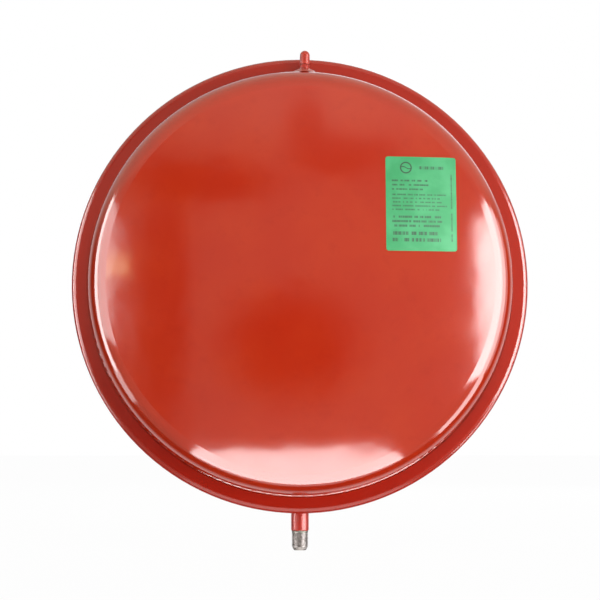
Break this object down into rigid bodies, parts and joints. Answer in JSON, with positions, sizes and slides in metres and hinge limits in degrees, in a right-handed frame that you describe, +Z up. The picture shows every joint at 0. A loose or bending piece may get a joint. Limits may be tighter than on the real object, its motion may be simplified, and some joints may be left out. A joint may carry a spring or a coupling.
{
  "type": "expansion vessel",
  "caption": "Flat round expansion vessel with a folded rim, rubber diaphragm, capped gas filling valve on top and a threaded water nipple below.",
  "frame": {"origin": "centre of the folded rim, in its middle plane, on the vessel's axis", "axes": "+Z up, along the gas valve's side; the water nipple points to -Z; the vessel's axis is Y and its gas side, which carries the label, faces -Y; +X is to the right of a viewer who looks at the gas side"},
  "size_m": [0.4599, 0.144, 0.5017],
  "materials": {
    "vessel_red": "gloss",
    "nipple_steel": "turned, bare",
    "diaphragm_rubber": "matt",
    "core_brass": "turned",
    "core_ptfe": "smooth",
    "core_steel": "drawn wire",
    "seal_rubber": "matt",
    "cap_plastic": "semi-gloss",
    "label_print": "printed film"
  },
  "bodies": {
    "vessel": {"front_shell": "vessel_red", "rear_shell": "vessel_red", "water_nipple": "nipple_steel", "nipple_weld": "vessel_red", "valve_stem": "vessel_red", "valve_weld": "vessel_red", "core_plug": "core_brass", "core_barrel": "core_brass", "core_barrel_seal": "core_ptfe", "core_spring": "core_steel", "label": "label_print"},
    "diaphragm": {"diaphragm": "diaphragm_rubber"},
    "cap_thread": {"cap_seal": "seal_rubber"},
    "cap": {"valve_cap": "cap_plastic"},
    "valve_pin": {"core_pin": "core_steel", "core_cup": "core_brass", "core_cup_seal": "seal_rubber"}
  },
  "joints": [
    {"name": "diaphragm_travel", "type": "slide", "parent": "vessel", "child": "diaphragm", "axis": [0, -1, 0], "range_m": [0, 0.06], "deforming": ["diaphragm"]},
    {"name": "cap_lift", "type": "slide", "parent": "vessel", "child": "cap_thread", "axis": [0.0192, 0, 0.9998], "range_m": [0, 0.00556]},
    {"name": "cap_turn", "type": "hinge", "parent": "cap_thread", "child": "cap", "pos_m": [0.00423, -0.019, 0.22026], "axis": [0.0192, 0, 0.9998], "range_deg": [0, 2520]},
    {"name": "pin_press", "type": "slide", "parent": "vessel", "child": "valve_pin", "axis": [-0.0192, 0, -0.9998], "range_m": [0, 0.0012], "stiffness_N_per_m": 600, "springref_m": -0.004, "deforming": ["core_spring"]}
  ],
  "couplings": [
    {"joint": "cap_turn", "follows": "cap_lift", "rad_per_m": 7913.3}
  ]
}
